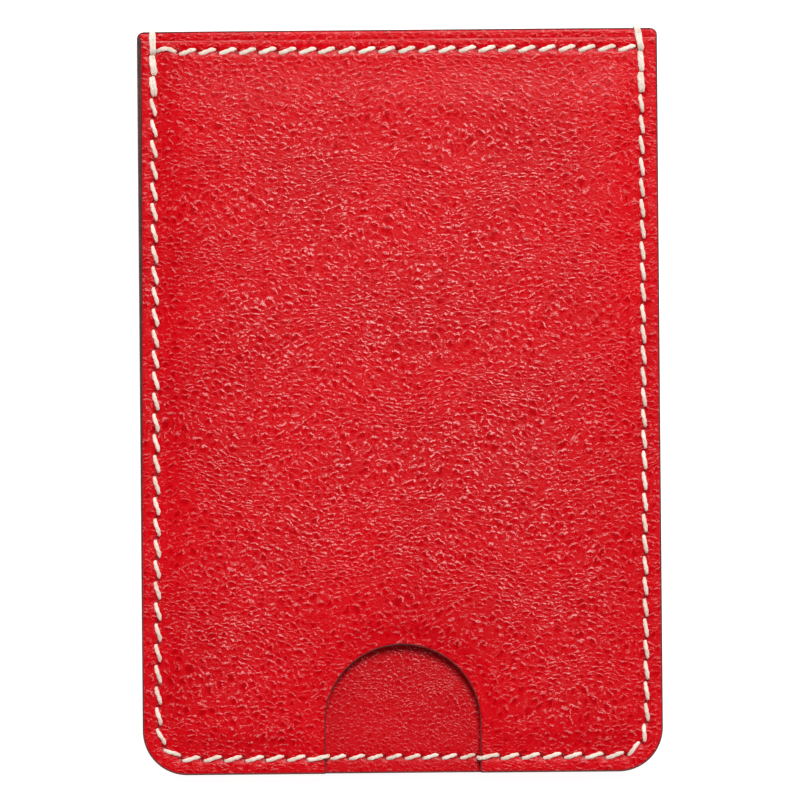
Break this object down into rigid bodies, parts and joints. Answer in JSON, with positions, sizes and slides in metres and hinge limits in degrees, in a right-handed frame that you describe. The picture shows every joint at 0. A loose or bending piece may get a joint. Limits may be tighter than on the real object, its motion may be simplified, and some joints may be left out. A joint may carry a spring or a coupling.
{
  "type": "card holder",
  "caption": "Flat upright card sleeve in lined pebbled leather, saddle stitched on three sides, open at the mouth, with a thumb notch in the front panel.",
  "frame": {"origin": "on the surface that the sleeve lies on, below the middle of the whole object's box", "axes": "the sleeve lies flat on its back: +Z out of the front panel, +Y along the length towards the open mouth, +X to the right when the front is seen with the mouth at the top"},
  "size_m": [0.07, 0.1006, 0.0043],
  "materials": {
    "outer_leather": "red pebbled goat leather, satin, with small pale glints on the grain",
    "lining_leather": "thin red lining leather, finer and rounder grain, slightly darker",
    "stiffener_board": "grey bonded leather-fibre board, matte",
    "thread": "waxed ivory linen thread, slightly fuzzy",
    "edge_paint": "dark brown edge paint, semi-matte"
  },
  "bodies": {
    "root": {"front_leather": "outer_leather", "back_leather": "outer_leather", "front_lining": "lining_leather", "back_lining": "lining_leather", "front_stiffener": "stiffener_board", "back_stiffener": "stiffener_board", "seam_thread": "thread", "front_mouth_thread": "thread", "back_mouth_thread": "thread", "outer_edge_paint": "edge_paint", "front_mouth_edge_paint": "edge_paint", "back_mouth_edge_paint": "edge_paint", "notch_edge_paint": "edge_paint"}
  },
  "joints": []
}
